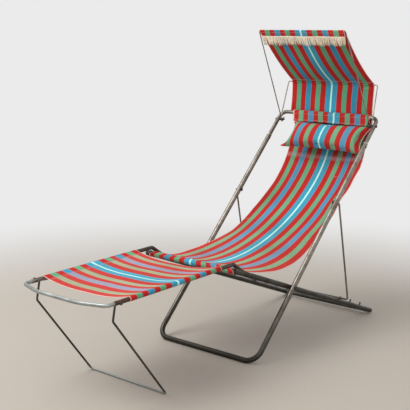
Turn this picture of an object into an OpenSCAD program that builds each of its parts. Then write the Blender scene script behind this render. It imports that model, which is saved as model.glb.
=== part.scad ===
// Folding sun lounger: two crossed tube frames with a striped sling, a hinged
// footrest on its own wire leg, a propped back, a headrest pillow and a canopy.
// +Z is up, +Y points to the head end and X runs across the seat.
// Lengths are in millimetres. The origin is on the ground, midway along the lounger.

/* [Back frame] */
// Distance between the centres of the back frame's rails
back_w = 530; // [500:5:600]
// Length along the rails, from the ground bar to the top bar
back_len = 1263; // [1200:1:1320]
// Angle of the back frame above the ground
back_tilt = 45.8; // [42:0.1:50]
// Outer diameter of the back frame's tube
back_d = 22; // [20:0.5:24]
// Wall of the large steel tubes
tube_wall = 1.5; // [1:0.1:2]
// Bend radius of the corners on the ground
back_foot_r = 55; // [40:1:80]
// Diameter of the thinner bow that closes the top
bow_d = 18; // [16:0.5:18.5]
// Bend radius of the bow's corners
bow_r = 32; // [28:1:38]
// Length of each straight side of the bow that shows
bow_side = 113; // [90:1:150]
// Length of the bow that is pushed into the lower tube
bow_plug = 60; // [40:1:90]

/* [Seat frame] */
// Space between the back frame's rails and the seat rails
frame_gap = 5; // [3:0.5:8]
// Length of the seat rails
seat_len = 1065; // [1000:1:1120]
// Outer diameter of the seat rails and bars
seat_d = 22; // [20:0.5:24]
// Distance from the ground bar to the crossing bolt, along the back frame
back_pivot = 357.4; // [340:0.1:380]
// Distance from the front bar to the crossing bolt, along the seat rails
seat_pivot = 352.5; // [330:0.1:370]
// Distance from the rear ends of the seat rails to the rear bar
rear_bar_inset = 28; // [20:1:50]
// Diameter of the crossing bolts
pivot_d = 8; // [6:0.5:10]

/* [Prop] */
// Distance from the ground bar to the prop's hinge, along the back frame
prop_hinge = 792; // [760:1:820]
// Diameter of the prop's rod
prop_d = 8; // [6:0.5:10]
// Distance from the crossing bolt to the first stop stud
first_stud = 424; // [410:1:440]
// Distance between stop studs
stud_pitch = 90; // [70:1:95]
// Number of stop studs on each rail
stud_count = 3; // [2:1:3]
// Height of a stop stud above its rail
stud_h = 13; // [10:0.5:16]

/* [Footrest] */
// Space between the seat rails and the footrest's rails
foot_gap = 2.5; // [2:0.5:6]
// Diameter of the footrest's rails
foot_d = 16; // [14:0.5:17]
// Distance from the crossing bolt to the footrest's bolts, along the seat rails
foot_pivot = 266; // [255:1:275]
// Length of the arm that drops to the bolt
foot_arm = 102; // [98:1:115]
// Length of the long straight of each rail
foot_rail = 632; // [600:1:660]
// Angle at which the rails fall towards the feet
foot_fall = 1.3; // [0:0.1:4]
// Diameter of the bowed end tube
end_d = 13.5; // [12:0.5:13.5]
// How far the end tube's middle stands beyond the rails
end_reach = 68; // [55:1:90]
// Length of the footrest's cloth
foot_cloth = 484; // [440:1:500]
// Distance from the rails' front ends to the cloth
foot_bare = 69; // [55:1:90]
// Sag of the footrest's cloth in the middle
foot_sag = 22; // [10:1:30]

/* [Footrest leg] */
// Diameter of the leg's rod
leg_d = 8; // [6:0.5:9]
// Distance from the centres of the footrest's rails to those of the leg's sides
leg_in = 16.5; // [14:0.5:30]
// Distance from the rails' front ends to the leg's hinge
leg_inset = 22; // [18:1:30]
// How far the leg's bend stands in front of its hinge
leg_knee_out = 14; // [5:1:20]
// How far the leg's bend hangs below its hinge
leg_knee_drop = 68; // [50:1:80]
// How far the leg's ground bar stands behind its hinge
leg_back = 244; // [200:1:280]

/* [Canopy] */
// Diameter of the canopy's rods
canopy_d = 5; // [4:0.5:5.5]
// Distance from the top bar to the canopy's bolts, along the back frame
canopy_drop = 47; // [45:1:60]
// Length of the rear bail's sides
rear_bail_len = 187; // [160:1:220]
// Angle of the rear bail above the level
rear_bail_angle = 73.3; // [70:0.1:80]
// How far each side of the rear bail leans in
rear_bail_in = 7.5; // [3:0.5:12]
// Length of the front bail's sides
front_bail_len = 465; // [420:1:500]
// Angle of the front bail above the level
front_bail_angle = 115.8; // [110:0.1:120]
// How far each side of the front bail leans in
front_bail_in = 14.3; // [5:0.1:15.5]
// Height of the hem that hangs in front of the front bar
hem_h = 27; // [20:1:35]
// Lean of the hem and its fringe from upright, in degrees
hem_lean = 28; // [0:1:30]
// Length of the fringe
fringe_h = 38; // [25:1:45]
// Sag of the canopy's roof between its bars
roof_sag = 14; // [5:1:30]

/* [Cloth] */
// Space between the striped canvas and the seat rails
cloth_gap = 1; // [1:0.5:6]
// Thickness of the canvas in the solids
cloth_t = 1.6; // [1.2:0.1:2]
// Angle at which the sling leaves the top bar
sling_top_angle = 25; // [10:1:35]
// Pull of the sling's curve at the top bar
sling_top_pull = 318; // [280:1:350]
// Angle at which the sling leaves the front bar
sling_front_angle = 24.4; // [15:0.1:30]
// Pull of the sling's curve at the front bar
sling_front_pull = 435; // [400:1:460]
// Height of the headrest's flap below the top bar
flap_drop = 38; // [25:1:50]

/* [Pillow] */
// How much narrower than the canvas the headrest pillow is
pillow_short = 6; // [0:1:50]
// Height of the headrest pillow
pillow_h = 138; // [110:1:150]
// Thickness of the headrest pillow
pillow_t = 74; // [50:1:76]
// Lean of the pillow away from the upright
pillow_lean = 30; // [5:1:40]

/* [Fits] */
// Gap that lets cloth and moving parts clear each other
gap = 0.3; // [0.2:0.05:0.5]
// Radial clearance of a bolt or rod in its hole
bore_gap = 0.05; // [0.02:0.01:0.1]

/* [Hidden] */
$fn = 48;

STEEL_WORN = [0.56, 0.53, 0.48];
STEEL_DARK = [0.25, 0.24, 0.22];
GALVANISED = [0.62, 0.64, 0.63];
RUST = [0.28, 0.17, 0.12];
CANVAS = [0.80, 0.16, 0.14];
CREAM = [0.92, 0.84, 0.66];

back_r = back_d / 2;
seat_r = seat_d / 2;
foot_r = foot_d / 2;
back_x = back_w / 2;
seat_x = back_x - back_r - frame_gap - seat_r;
foot_x = seat_x - seat_r - foot_gap - foot_r;
cloth_x = seat_x - seat_r - cloth_gap;
cloth_w = 2 * cloth_x;
bow_rad = bow_d / 2;
end_r = end_d / 2;

// A direction in the side view, y and z, at an angle above the level
function heading(a) = [cos(a), sin(a)];
// A point in the side view, reached from another by an angle and a distance
function reach(from, a, d) = from + d * heading(a);

ground_bar = [0, back_r];
top_bar = reach(ground_bar, back_tilt, back_len);
pivot = reach(ground_bar, back_tilt, back_pivot);
seat_back = seat_len - seat_pivot;
seat_tilt = asin(pivot[1] / norm([seat_back, seat_r])) - atan2(seat_r, seat_back);
front_bar = reach(pivot, 180 - seat_tilt, seat_pivot);
foot_bolt = reach(pivot, 180 - seat_tilt, foot_pivot);

// The prop stands on the seat rails, in front of the first pair of studs.
stud_d = 6;
stud_head = 8;
prop_x = back_x + back_r + prop_d / 2 + 1.5;
prop_at = first_stud - stud_d / 2 - prop_d / 2 - 2 * gap;
prop_lift = seat_r + prop_d / 2 + gap;
prop_foot = reach(reach(pivot, -seat_tilt, prop_at), 90 - seat_tilt, prop_lift);
prop_top = reach(ground_bar, back_tilt, prop_hinge);
prop_len = norm(prop_foot - prop_top);
prop_angle = atan2(prop_foot[1] - prop_top[1], prop_foot[0] - prop_top[0]);

// The footrest's arms lie on the cloth round the front bar.
casing = gap + cloth_t;
arm_rise = asin((seat_r + casing + gap + foot_r) / (seat_pivot - foot_pivot));
arm_angle = 180 - seat_tilt - arm_rise;
rail_angle = 180 + foot_fall;
foot_bend = reach(foot_bolt, arm_angle, foot_arm);
foot_end = reach(foot_bend, rail_angle, foot_rail);
leg_hinge = reach(foot_bend, rail_angle, foot_rail - leg_inset);
leg_knee = leg_hinge + [-leg_knee_out, -leg_knee_drop];
leg_foot = [leg_hinge[0] + leg_back, leg_d / 2];

canopy_bolt = reach(ground_bar, back_tilt, back_len - canopy_drop);
rear_bar = reach(canopy_bolt, rear_bail_angle, rear_bail_len);
front_canopy_bar = reach(canopy_bolt, front_bail_angle, front_bail_len);

// Bolts, washers and nuts, from the tubes' faces inwards
bolt_head = 4;
washer_t = 1.2;
small_bolt_d = 6;
eye_d = 14;
eye_t = canopy_d + 0.4;
bow_face = back_x - bow_rad;
rear_eye_x = bow_face - washer_t - 2 * gap - eye_t / 2;
front_eye_x = rear_eye_x - eye_t - washer_t - 2 * gap;
wing_x = front_eye_x - eye_t / 2 - washer_t - 2 * gap;

// The model's middle, so that the origin is midway along it
end_y = foot_end[0] - end_reach * cos(foot_fall) - end_r;
rear_y = pivot[0] + seat_back * cos(seat_tilt) + seat_r * sin(seat_tilt);
mid_y = (end_y + rear_y) / 2;

// Sets children drawn about the origin at a point of the side view.
module at(p)
  translate([0, p[0] - mid_y, p[1]]) children();

// Stands a drawing in X and Y on end, so that its Y runs at an angle in the side view.
module leaning(p, a)
  at(p) rotate([a, 0, 0]) children();

// A round bar across the lounger, from one X to another
module cross_bar(p, x0, x1, d)
  at(p) translate([x0, 0, 0]) rotate([0, 90, 0]) cylinder(h = x1 - x0, d = d);

// The same bar on both sides, given for the right side
module both_sides(p, x0, x1, d) {
  cross_bar(p, x0, x1, d);
  cross_bar(p, -x1, -x0, d);
}

// A ring across the lounger
module cross_ring(p, x0, x1, inner, outer)
  difference() {
    cross_bar(p, x0, x1, outer);
    cross_bar(p, x0 - 1, x1 + 1, inner);
  }

module side_rings(p, x0, x1, inner, outer) {
  cross_ring(p, x0, x1, inner, outer);
  cross_ring(p, -x1, -x0, inner, outer);
}

// A hexagon across the lounger
module hex(p, x0, x1, across)
  at(p) translate([x0, 0, 0]) rotate([0, 90, 0]) cylinder(h = x1 - x0, d = across / cos(30), $fn = 6);

// A sheet seen edge on in the side view, between two X
module sheet_between(x0, x1, outline)
  translate([x0, -mid_y, 0]) rotate([90, 0, 90]) linear_extrude(x1 - x0) polygon(outline);

function unit(v) = v / norm(v);
function left_of(v) = [-v[1], v[0]];
function turn(a, b) = atan2(a[0] * b[1] - a[1] * b[0], a * b);
// The length of a straight that a bend at point i takes up
function taken(pts, radii, i) =
  i <= 0 || i >= len(pts) - 1 ? 0 :
  radii[i - 1] * tan(abs(turn(unit(pts[i] - pts[i - 1]), unit(pts[i + 1] - pts[i]))) / 2);

// A round bar bent along points in X and Y, with a radius for each inner point. Its bends are
// a hair thicker than its straights, which lap into them.
module bent_bar(pts, radii, d) {
  last = len(pts) - 1;
  lap = 0.5;
  swell = 0.2;
  for (i = [0 : last - 1]) {
    way = unit(pts[i + 1] - pts[i]);
    a = pts[i] + way * (i == 0 ? 0 : taken(pts, radii, i) - lap);
    b = pts[i + 1] - way * (i == last - 1 ? 0 : taken(pts, radii, i + 1) - lap);
    translate([a[0], a[1], 0]) rotate([0, 0, atan2(way[1], way[0])])
      rotate([0, 90, 0]) rotate([0, 0, 45]) cylinder(h = norm(b - a), d = d);
  }
  for (i = [1 : last - 1]) {
    u = unit(pts[i] - pts[i - 1]);
    bend = turn(u, unit(pts[i + 1] - pts[i]));
    out = -sign(bend) * left_of(u);
    centre = pts[i] - u * taken(pts, radii, i) - out * radii[i - 1];
    translate([centre[0], centre[1], 0]) rotate([0, 0, atan2(out[1], out[0]) + min(bend, 0)])
      rotate_extrude(angle = abs(bend)) translate([radii[i - 1], 0]) circle(d = d + swell);
  }
}

// A bent tube: the bar with its bore taken out, and open ends
module bent_tube(pts, radii, d, wall) {
  last = len(pts) - 1;
  a = pts[0] - unit(pts[1] - pts[0]);
  b = pts[last] + unit(pts[last] - pts[last - 1]);
  inner = [for (i = [0 : last]) i == 0 ? a : i == last ? b : pts[i]];
  difference() {
    bent_bar(pts, radii, d);
    bent_bar(inner, radii, d - 2 * wall);
  }
}

// Bores for a rod or bolt through both rails of a frame
module bores(p, d)
  cross_bar(p, -back_w, back_w, d + 2 * bore_gap);

bow_start = back_len - bow_r - bow_side;

module back_lower_tube() color(STEEL_WORN) {
  pts = [[back_x, bow_start], [back_x, 0], [-back_x, 0], [-back_x, bow_start]];
  difference() {
    leaning(ground_bar, back_tilt) bent_tube(pts, [back_foot_r, back_foot_r], back_d, tube_wall);
    bores(pivot, pivot_d);
    bores(prop_top, prop_d);
    bores(rivet_at, rivet_d);
  }
}

rivet_d = 4;
rivet_at = reach(ground_bar, back_tilt, bow_start - bow_plug / 3);

module back_top_bow() color(STEEL_WORN) {
  low = bow_start - bow_plug;
  pts = [[back_x, low], [back_x, back_len], [-back_x, back_len], [-back_x, low]];
  difference() {
    leaning(ground_bar, back_tilt) bent_tube(pts, [bow_r, bow_r], bow_d, tube_wall);
    bores(rivet_at, rivet_d);
    bores(canopy_bolt, small_bolt_d);
  }
}

// Rivets that hold the bow in the lower tube
module bow_rivets() color(STEEL_DARK) {
  over = 1.6;
  both_sides(rivet_at, back_x - back_r - over, back_x + back_r + over, rivet_d);
  both_sides(rivet_at, back_x + back_r, back_x + back_r + over, 2 * rivet_d);
  both_sides(rivet_at, back_x - back_r - over, back_x - back_r, 2 * rivet_d);
}

// A seat rail has closed ends, bores for its bolts and holes for its studs.
module seat_rail(side) color(STEEL_DARK)
  difference() {
    leaning(pivot, -seat_tilt) translate([side * seat_x, 0, 0]) rotate([-90, 0, 0]) difference() {
      translate([0, 0, -seat_pivot - seat_r]) cylinder(h = seat_len + seat_r, d = seat_d);
      translate([0, 0, -seat_pivot - seat_r + tube_wall])
        cylinder(h = seat_len + seat_r - 2 * tube_wall, d = seat_d - 2 * tube_wall);
    }
    bores(pivot, pivot_d);
    bores(foot_bolt, small_bolt_d);
    stud_shanks(2 * bore_gap);
  }

module seat_rail_right() seat_rail(1);
module seat_rail_left() seat_rail(-1);

// A bar between the seat rails, with its ends cut to their round
module seat_cross_bar(along) {
  p = reach(pivot, -seat_tilt, along);
  difference() {
    cross_ring(p, -seat_x, seat_x, seat_d - 2 * tube_wall, seat_d);
    for (side = [-1, 1])
      leaning(pivot, -seat_tilt) translate([side * seat_x, along - seat_d, 0]) rotate([-90, 0, 0])
        cylinder(h = 2 * seat_d, d = seat_d);
  }
}

module seat_front_bar() color(STEEL_DARK) seat_cross_bar(-seat_pivot);
module seat_rear_bar() color(STEEL_DARK) seat_cross_bar(seat_back - rear_bar_inset);

// Places children on top of the rails, at each stud
module at_studs()
  for (side = [-1, 1], i = [0 : stud_count - 1])
    leaning(pivot, -seat_tilt)
      translate([side * seat_x, first_stud + i * stud_pitch, seat_r]) children();

module stud_shanks(more)
  at_studs() translate([0, 0, -2 * tube_wall]) cylinder(h = stud_h, d = stud_d + more);

module stop_studs() color(STEEL_DARK) {
  stud_shanks(0);
  at_studs() translate([0, 0, stud_h - stud_head / 2]) sphere(d = stud_head);
}

spacer_d = 18;

module pivot_bolts() color(STEEL_DARK) {
  out = back_x + back_r + gap;
  both_sides(pivot, seat_x - seat_r - washer_t - 12, out, pivot_d);
  both_sides(pivot, out, out + washer_t, 2 * pivot_d);
  hex(pivot, out + washer_t, out + washer_t + bolt_head, 13);
  hex(pivot, -out - washer_t - bolt_head, -out - washer_t, 13);
}

module pivot_spacers() color(STEEL_DARK) {
  inner = seat_x + seat_r;
  side_rings(pivot, inner + gap, inner + frame_gap - gap, pivot_d + 2 * bore_gap, spacer_d);
}

module nut_pair(p, x1, h, d, across)
  difference() {
    union() {
      hex(p, x1 - h, x1, across);
      hex(p, -x1, h - x1, across);
    }
    cross_bar(p, -back_w, back_w, d);
  }

module pivot_nuts() color(STEEL_DARK)
  nut_pair(pivot, seat_x - seat_r - gap, 6.5, pivot_d, 13);

// The prop is one rod: its ends turn in through the back frame's rails. Past a hard turn a
// rod is drawn slimmer by this much.
slim = 0.4;
prop_in = back_x - back_r - 4;

module prop_bail() color(STEEL_WORN) {
  corner = 12;
  both_sides(prop_top, prop_in, prop_x + prop_d / 2, prop_d);
  leaning(prop_top, prop_angle)
    bent_bar([[prop_x, 0], [prop_x, prop_len], [-prop_x, prop_len], [-prop_x, 0]],
      [corner, corner], prop_d - slim);
}

module prop_end_washers() color(STEEL_DARK)
  side_rings(prop_top, prop_in, prop_in + 2 * washer_t, prop_d, 2 * prop_d);

// A footrest rail is drawn in its own side view, then stood up.
module footrest_rail(side) color(RUST) {
  pts = [foot_bolt - heading(arm_angle) * foot_r, foot_bend, foot_end];
  difference() {
    translate([side * foot_x, -mid_y, 0]) rotate([90, 0, 90]) bent_tube(pts, [28], foot_d, 1);
    bores(foot_bolt, small_bolt_d);
    bores(leg_hinge, leg_d);
  }
}

module footrest_rail_right() footrest_rail(1);
module footrest_rail_left() footrest_rail(-1);

// The bowed end tube is pushed into the rails and pinned there by the leg's rod.
end_plug = 45;
end_wall = 1.2;
shoulder = end_reach / 2;
shoulder_r = 26;
crown_r = 180;
end_path = [[foot_x, -end_plug], [foot_x, shoulder], [foot_x / 2, end_reach],
  [-foot_x / 2, end_reach], [-foot_x, shoulder], [-foot_x, -end_plug]];

// The end tube's bore is left out past its straight ends.
module footrest_end_bow() color(GALVANISED) {
  difference() {
    leaning(foot_end, rail_angle) difference() {
      bent_bar(end_path, [shoulder_r, crown_r, crown_r, shoulder_r], end_d);
      for (side = [-1, 1])
        translate([side * foot_x, -end_plug - 1, 0]) rotate([-90, 0, 0])
          cylinder(h = end_plug, d = end_d - 2 * end_wall);
    }
    bores(leg_hinge, leg_d);
  }
}

module footrest_bolts() color(STEEL_DARK) {
  out = seat_x + seat_r + gap;
  both_sides(foot_bolt, foot_x - foot_r - 9, out, small_bolt_d);
  hex(foot_bolt, out, out + bolt_head, 10);
  hex(foot_bolt, -out - bolt_head, -out, 10);
}

module footrest_spacers() color(STEEL_DARK)
  side_rings(foot_bolt, foot_x + foot_r + gap, seat_x - seat_r - gap, small_bolt_d + 2 * bore_gap, 14);

module footrest_nuts() color(STEEL_DARK)
  nut_pair(foot_bolt, foot_x - foot_r - gap, 5, small_bolt_d, 10);

// The footrest's cloth runs round both rails and sags between them.
module footrest_cloth() color(CANVAS) {
  inner = foot_r + gap;
  outer = foot_r + casing;
  steps = 24;
  xs = [for (i = [0 : steps]) foot_x * (2 * i / steps - 1)];
  over = [for (x = xs) [x, outer - foot_sag * (1 - pow(x / foot_x, 2))]];
  under = [for (i = [steps : -1 : 0]) over[i] - [0, cloth_t]];
  leaning(foot_end, rail_angle) translate([0, -foot_bare, 0]) rotate([90, 0, 0]) difference() {
    linear_extrude(foot_cloth) union() {
      mirror([0, 1]) polygon(concat(over, under));
      for (side = [-1, 1])
        translate([side * foot_x, 0]) circle(r = outer);
    }
    for (side = [-1, 1])
      translate([side * foot_x, 0, -1]) cylinder(h = foot_cloth + 2, r = inner);
  }
}

// The leg is one rod with a knee on each side. Its ends turn out through the rails.
module footrest_leg() color(STEEL_DARK) {
  leg_x = foot_x - leg_in;
  leg_r = leg_d / 2;
  corner = 9;
  upper = norm(leg_knee - leg_hinge);
  lower = norm(leg_foot - leg_knee);
  both_sides(leg_hinge, leg_x - leg_r, foot_x + foot_r + 4, leg_d);
  both_sides(leg_knee, leg_x - leg_r, leg_x + leg_r, leg_d);
  for (side = [-1, 1])
    leaning(leg_hinge, atan2(-leg_knee_drop, -leg_knee_out)) translate([side * leg_x, 0, 0])
      rotate([-90, 0, 0]) cylinder(h = upper, d = leg_d - slim);
  leaning(leg_knee, atan2(leg_foot[1] - leg_knee[1], leg_foot[0] - leg_knee[0]))
    bent_bar([[leg_x, 0], [leg_x, lower], [-leg_x, lower], [-leg_x, 0]], [corner, corner], leg_d - slim);
}

module leg_end_washers() color(STEEL_DARK) {
  face = foot_x + foot_r;
  side_rings(leg_hinge, face + 4 - 2 * washer_t, face + 4, leg_d, 2 * leg_d);
}

// The sling's middle line is one curve between the two bars.
sling_ring = bow_rad + casing;
front_ring = seat_r + casing;
sling_top = reach(top_bar, sling_top_angle, sling_ring - cloth_t / 2);
sling_front = reach(front_bar, 90 - sling_front_angle, front_ring - cloth_t / 2);
sling_pull_top = reach(sling_top, sling_top_angle - 90, sling_top_pull);
sling_pull_front = reach(sling_front, -sling_front_angle, sling_front_pull);

function curve(a, b, c, d, t) =
  pow(1 - t, 3) * a + 3 * pow(1 - t, 2) * t * b + 3 * (1 - t) * t * t * c + pow(t, 3) * d;
function slope(a, b, c, d, t) =
  unit(pow(1 - t, 2) * (b - a) + 2 * (1 - t) * t * (c - b) + t * t * (d - c));
function edge_of(a, b, c, d, t, off) = curve(a, b, c, d, t) + left_of(slope(a, b, c, d, t)) * off;
function strip(a, b, c, d, steps, thick) = concat(
  [for (i = [0 : steps]) edge_of(a, b, c, d, i / steps, thick / 2)],
  [for (i = [steps : -1 : 0]) edge_of(a, b, c, d, i / steps, -thick / 2)]);

// The sling is drawn in at the front, where the footrest's arms pass it.
module sling() color(CANVAS) {
  narrow = foot_x - foot_r - 4;
  notch_to = foot_bolt[0] + 30;
  cross_ring(top_bar, -cloth_x, cloth_x, 2 * (bow_rad + gap), 2 * sling_ring);
  cross_ring(front_bar, -cloth_x + 1, cloth_x - 1, 2 * (seat_r + gap), 2 * front_ring);
  difference() {
    sheet_between(-cloth_x, cloth_x,
      strip(sling_top, sling_pull_top, sling_pull_front, sling_front, 32, cloth_t));
    for (side = [0, 1])
      mirror([side, 0, 0]) translate([narrow, front_bar[0] - seat_d - mid_y, 0])
        cube([cloth_w, notch_to - front_bar[0] + seat_d, front_bar[1] + seat_d]);
  }
}

// The flap is a strip laid over the top bar. The pillow hangs from its front edge.
flap_in = sling_ring + gap;
flap_out = flap_in + cloth_t;
flap_end = 20;
function arc(p, r, a0, a1, steps) = [for (i = [0 : steps]) reach(p, a0 + (a1 - a0) * i / steps, r)];

module headrest_flap() color(CANVAS)
  sheet_between(-cloth_x, cloth_x, concat(
    [top_bar + [-flap_out, -flap_drop]], arc(top_bar, flap_out, 180, flap_end, 20),
    arc(top_bar, flap_in, flap_end, 180, 20), [top_bar + [-flap_in, -flap_drop]]));

// The pillow has a crown, sides drawn in between its corners and a thin sewn edge.
module pillow_form(w, h, t) {
  nu = 20;
  nv = 10;
  draw = 0.06;
  function at_u(i) = 2 * i / nu - 1;
  function at_v(j) = 2 * j / nv - 1;
  function puff(u, v) = pillow_edge + (t - pillow_edge) * pow((1 - pow(u, 4)) * (1 - pow(v, 2)), 0.6);
  function spot(u, v, side) = [w / 2 * u * (1 - draw * (1 - v * v)),
    h / 2 * v * (1 - draw * (1 - u * u)), side * puff(u, v) / 2];
  function id(i, j, side) = (side > 0 ? 0 : (nu + 1) * (nv + 1)) + i * (nv + 1) + j;
  function quad(a, b, c, d) = [[a, b, c], [a, c, d]];
  points = [for (side = [1, -1], i = [0 : nu], j = [0 : nv]) spot(at_u(i), at_v(j), side)];
  faces = [
    for (i = [0 : nu - 1], j = [0 : nv - 1]) each
      quad(id(i, j, 1), id(i, j + 1, 1), id(i + 1, j + 1, 1), id(i + 1, j, 1)),
    for (i = [0 : nu - 1], j = [0 : nv - 1]) each
      quad(id(i, j, -1), id(i + 1, j, -1), id(i + 1, j + 1, -1), id(i, j + 1, -1)),
    for (i = [0 : nu - 1]) each quad(id(i, 0, 1), id(i + 1, 0, 1), id(i + 1, 0, -1), id(i, 0, -1)),
    for (i = [0 : nu - 1]) each quad(id(i + 1, nv, 1), id(i, nv, 1), id(i, nv, -1), id(i + 1, nv, -1)),
    for (j = [0 : nv - 1]) each quad(id(0, j + 1, 1), id(0, j, 1), id(0, j, -1), id(0, j + 1, -1)),
    for (j = [0 : nv - 1]) each quad(id(nu, j, 1), id(nu, j + 1, 1), id(nu, j + 1, -1), id(nu, j, -1))];
  polyhedron(points, faces);
}

pillow_edge = 3;
pillow_top = top_bar +
  [-flap_in - cloth_t / 2, -flap_drop - gap - pillow_edge / 2 * sin(pillow_lean)];
pillow_mid = reach(pillow_top, 270 - pillow_lean, pillow_h / 2);

module headrest_pillow() color(CANVAS)
  leaning(pillow_mid, 90 - pillow_lean) pillow_form(cloth_w - pillow_short, pillow_h, pillow_t);

module canopy_bolts() color(STEEL_DARK) {
  out = back_x + bow_rad + gap;
  both_sides(canopy_bolt, wing_x - 12, out, small_bolt_d);
  hex(canopy_bolt, out, out + bolt_head, 10);
  hex(canopy_bolt, -out - bolt_head, -out, 10);
}

module canopy_inner_washers() color(STEEL_DARK) {
  side_rings(canopy_bolt, bow_face - gap - washer_t, bow_face - gap, small_bolt_d + 2 * bore_gap, 13);
  side_rings(canopy_bolt, wing_x + gap, wing_x + gap + washer_t, small_bolt_d + 2 * bore_gap, 13);
}

module canopy_eye_washers() color(STEEL_DARK)
  side_rings(canopy_bolt, front_eye_x + eye_t / 2 + gap, rear_eye_x - eye_t / 2 - gap,
    small_bolt_d + 2 * bore_gap, 13);

// A wing nut: a round boss with two wings
module wing_nut(side) {
  boss = 10;
  h = 6;
  wing_reach = 13;
  x0 = side > 0 ? wing_x - h : -wing_x;
  difference() {
    union() {
      cross_bar(canopy_bolt, x0, x0 + h, boss);
      leaning(canopy_bolt, back_tilt) for (way = [-1, 1])
        translate([x0 + h / 2, way * wing_reach / 2, 0]) cube([h, wing_reach, 2.5], center = true);
    }
    cross_bar(canopy_bolt, x0 - 1, x0 + h + 1, small_bolt_d);
  }
}

module canopy_wing_nuts() color(STEEL_DARK) {
  wing_nut(1);
  wing_nut(-1);
}

// A bail is one rod with a flat eye on each end.
module bail(angle, eye_x, bar_x, length) {
  start = eye_d / 2 - 1;
  corner = 8;
  difference() {
    union() {
      both_sides(canopy_bolt, eye_x - eye_t / 2, eye_x + eye_t / 2, eye_d);
      leaning(canopy_bolt, angle)
        bent_bar([[eye_x, start], [bar_x, length], [-bar_x, length], [-eye_x, start]],
          [corner, corner], canopy_d);
    }
    cross_bar(canopy_bolt, -back_w, back_w, small_bolt_d + 2 * bore_gap);
  }
}

module canopy_rear_bail() color(STEEL_DARK)
  bail(rear_bail_angle, rear_eye_x, rear_eye_x - rear_bail_in, rear_bail_len);

module canopy_front_bail() color(STEEL_DARK)
  bail(front_bail_angle, front_eye_x, front_eye_x - front_bail_in, front_bail_len);

canopy_ring = canopy_d / 2 + casing;

// The back panel hangs from the rear bar and is sewn behind the headrest's flap.
module canopy_panel() color(CANVAS) {
  low = top_bar + [flap_out * cos(flap_end) + gap + cloth_t / 2, 1];
  high = rear_bar + [canopy_d / 2 + gap + cloth_t / 2, 0];
  sheet_between(-cloth_x, cloth_x, strip(low, low + [1, 45], high - [1, 45], high, 8, cloth_t));
}

// The roof runs from the rear bar to the front bar, with a casing round the rear bar.
roof_ring = canopy_ring + cloth_t + gap;

module canopy_roof() color(CANVAS) {
  way = unit(front_canopy_bar - rear_bar);
  a = rear_bar + left_of(-way) * (roof_ring - cloth_t / 2);
  b = front_canopy_bar + left_of(-way) * (canopy_d / 2 + gap + cloth_t / 2);
  third = norm(b - a) / 3;
  dip = [0, -roof_sag * 4 / 3];
  sheet_between(-cloth_x, cloth_x,
    strip(a, a + way * third + dip, b - way * third + dip, b, 12, cloth_t));
}

// The hem turns over the front bar and hangs in front of it.
hem_r = canopy_d / 2 + gap;
hem_from = 180 + hem_lean;
hem_to = 140;
hem_mid_r = (canopy_ring + hem_r) / 2;
hem_way = hem_from + 90;
function hem_at(radius, down) = reach(reach(front_canopy_bar, hem_from, radius), hem_way, down);

module canopy_hem() color(CANVAS)
  sheet_between(-cloth_x, cloth_x, concat(
    [hem_at(canopy_ring, hem_h)], arc(front_canopy_bar, canopy_ring, hem_from, hem_to, 8),
    arc(front_canopy_bar, hem_r, hem_to, hem_from, 8), [hem_at(hem_r, hem_h)]));

// The fringe is a row of tassels sewn below the hem.
module canopy_fringe() color(CREAM) {
  tassels = 56;
  pitch = cloth_w / tassels;
  band = 8;
  top = hem_at(hem_mid_r, hem_h + gap);
  teeth = [for (i = [0 : tassels - 1]) each [
    [-cloth_x + i * pitch, -band], [-cloth_x + (i + 0.25) * pitch, -fringe_h],
    [-cloth_x + (i + 0.75) * pitch, -fringe_h]]];
  translate([0, top[0] - mid_y, top[1]]) rotate([90 + hem_lean, 0, 0])
    translate([0, 0, -cloth_t]) linear_extrude(2 * cloth_t)
      polygon(concat([[-cloth_x, 0]], teeth, [[cloth_x, -band], [cloth_x, 0]]));
}

back_lower_tube();
back_top_bow();
bow_rivets();
seat_rail_right();
seat_rail_left();
seat_front_bar();
seat_rear_bar();
stop_studs();
pivot_bolts();
pivot_spacers();
pivot_nuts();
prop_bail();
prop_end_washers();
footrest_rail_right();
footrest_rail_left();
footrest_end_bow();
footrest_bolts();
footrest_spacers();
footrest_nuts();
footrest_cloth();
footrest_leg();
leg_end_washers();
sling();
headrest_flap();
headrest_pillow();
canopy_bolts();
canopy_inner_washers();
canopy_wing_nuts();
canopy_rear_bail();
canopy_eye_washers();
canopy_front_bail();
canopy_panel();
canopy_roof();
canopy_hem();
canopy_fringe();
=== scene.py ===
import math
import random
import bmesh
import bpy
import numpy as np
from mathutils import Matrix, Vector


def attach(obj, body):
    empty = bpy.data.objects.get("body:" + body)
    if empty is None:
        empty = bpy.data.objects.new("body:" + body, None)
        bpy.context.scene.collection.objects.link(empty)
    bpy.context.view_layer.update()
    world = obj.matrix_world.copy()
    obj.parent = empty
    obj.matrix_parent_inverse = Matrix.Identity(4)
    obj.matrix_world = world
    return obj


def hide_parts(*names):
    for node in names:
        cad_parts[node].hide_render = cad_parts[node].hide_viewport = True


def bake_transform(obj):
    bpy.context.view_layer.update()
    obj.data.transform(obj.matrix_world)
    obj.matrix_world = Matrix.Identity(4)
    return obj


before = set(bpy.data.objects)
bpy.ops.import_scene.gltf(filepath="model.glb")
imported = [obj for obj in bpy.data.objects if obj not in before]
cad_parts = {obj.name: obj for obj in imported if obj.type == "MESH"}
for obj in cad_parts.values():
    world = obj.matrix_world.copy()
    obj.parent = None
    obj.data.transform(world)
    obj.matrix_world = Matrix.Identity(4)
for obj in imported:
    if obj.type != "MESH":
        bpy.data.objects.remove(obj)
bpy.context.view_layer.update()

# Camera. It stands at the foot end, to the right of the lounger and at head height, and looks
# slightly down at the crossing of the two frames.
def placed(name, data):
    """A new object in the scene."""
    thing = bpy.data.objects.new(name, data)
    bpy.context.scene.collection.objects.link(thing)
    return thing


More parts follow.
